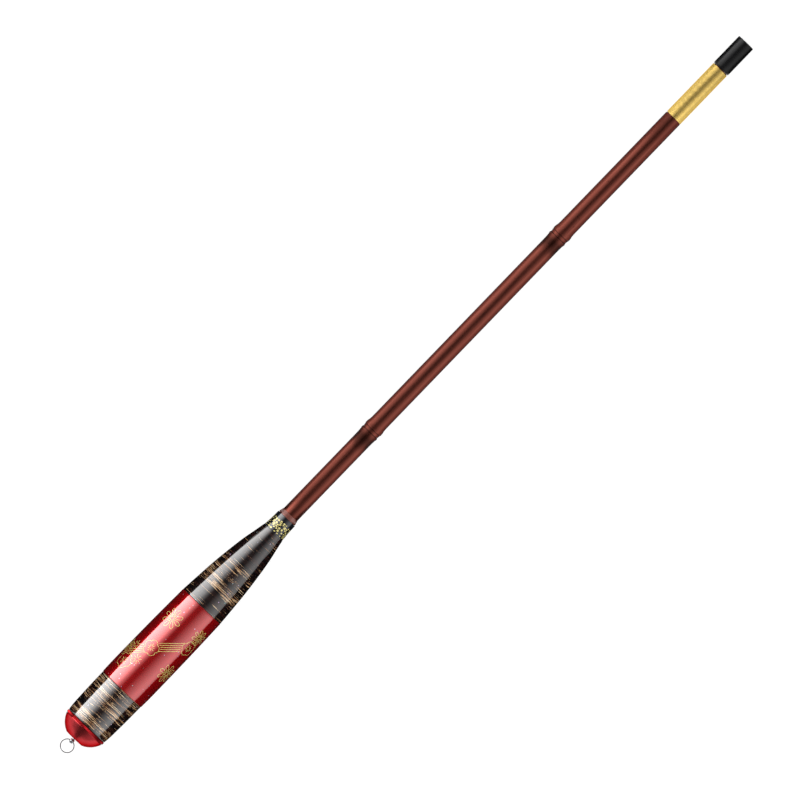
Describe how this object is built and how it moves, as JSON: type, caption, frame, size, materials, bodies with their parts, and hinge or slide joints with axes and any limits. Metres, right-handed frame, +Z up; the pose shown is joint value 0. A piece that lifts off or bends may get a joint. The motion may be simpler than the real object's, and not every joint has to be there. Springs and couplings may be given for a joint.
{
  "type": "fishing rod",
  "caption": "Telescopic hand rod shown closed: swollen lacquered grip, bamboo-look tube with ridged nodes, gold thread at its mouth, black plug, red domed screw cap with a swivelling ring.",
  "frame": {"origin": "centre of the footprint of the closed rod, on the floor it lies on", "axes": "+X from the ring and cap to the plug, +Z up; the rod's own axis dips 1.106 degrees towards +X because it lies on the swell of its grip and on the end of its plug"},
  "size_m": [0.6402, 0.035, 0.0353],
  "materials": {
    "bamboo_lacquer": "gloss",
    "gold_thread": "gloss",
    "light_wood": "satin",
    "rear_band_lacquer": "gloss",
    "red_lacquer": "gloss",
    "cone_lacquer": "gloss",
    "fleck_lacquer": "gloss",
    "brown_horn": "gloss",
    "bare_aluminium": "satin",
    "seal_rubber": "matte",
    "red_aluminium": "gloss",
    "knurled_aluminium": "gloss",
    "buffer_rubber": "matte",
    "eye_steel": "polished",
    "washer_steel": "satin",
    "ring_steel": "polished",
    "section_2_lacquer": "gloss",
    "section_3_lacquer": "gloss",
    "tip_lacquer": "gloss",
    "ferrule_steel": "satin",
    "line_eye_steel": "polished",
    "black_plug": "gloss",
    "sleeve_rubber": "matte"
  },
  "bodies": {
    "rod_butt": {"butt_section": "bamboo_lacquer", "mouth_winding": "gold_thread", "grip_core": "light_wood", "grip_rear_band": "rear_band_lacquer", "grip_red_sleeve": "red_lacquer", "grip_front_cone": "cone_lacquer", "fleck_collar": "fleck_lacquer", "winding_check": "brown_horn", "butt_insert": "bare_aluminium"},
    "seal": {"cap_seal": "seal_rubber"},
    "cap": {"butt_cap": "red_aluminium", "cap_knurled_ring": "knurled_aluminium", "cap_buffer": "buffer_rubber", "eye_washer": "washer_steel"},
    "eye": {"swivel_eye": "eye_steel"},
    "ring": {"split_ring": "ring_steel"},
    "second": {"section_2": "section_2_lacquer"},
    "third": {"section_3": "section_3_lacquer"},
    "tip": {"tip_section": "tip_lacquer", "tip_ferrule": "ferrule_steel"},
    "turning_eye": {"line_eye": "line_eye_steel"},
    "plug": {"plug_head": "black_plug", "plug_sleeve": "sleeve_rubber"}
  },
  "joints": [
    {"name": "cap_travel", "type": "slide", "parent": "rod_butt", "child": "seal", "axis": [-0.9998, 0, 0.0193], "range_m": [0, 0.0115]},
    {"name": "cap_turn", "type": "hinge", "parent": "seal", "child": "cap", "pos_m": [-0.3088, 0, 0.01896], "axis": [-0.9998, 0, 0.0193], "range_deg": [0, 2072]},
    {"name": "eye_swivel", "type": "hinge", "parent": "cap", "child": "eye", "pos_m": [-0.31096, 0, 0.01901], "axis": [0.9998, 0, -0.0193], "continuous": true},
    {"name": "ring_swing", "type": "hinge", "parent": "eye", "child": "ring", "pos_m": [-0.31096, 0, 0.01901], "axis": [0, 1, 0], "range_deg": [-100, 100]},
    {"name": "second_slide", "type": "slide", "parent": "rod_butt", "child": "second", "axis": [0.9998, 0, -0.0193], "range_m": [0, 0.535]},
    {"name": "third_slide", "type": "slide", "parent": "second", "child": "third", "axis": [0.9998, 0, -0.0193], "range_m": [0, 0.521]},
    {"name": "tip_slide", "type": "slide", "parent": "third", "child": "tip", "axis": [0.9998, 0, -0.0193], "range_m": [0, 0.5288]},
    {"name": "line_eye_turn", "type": "hinge", "parent": "tip", "child": "turning_eye", "pos_m": [0.28894, 0, 0.00743], "axis": [0.9998, 0, -0.0193], "continuous": true},
    {"name": "plug_pull", "type": "slide", "parent": "tip", "child": "plug", "axis": [0.9998, 0, -0.0193], "range_m": [0, 0.05]}
  ],
  "couplings": [
    {"joint": "cap_turn", "follows": "cap_travel", "rad_per_m": 3141.6}
  ]
}
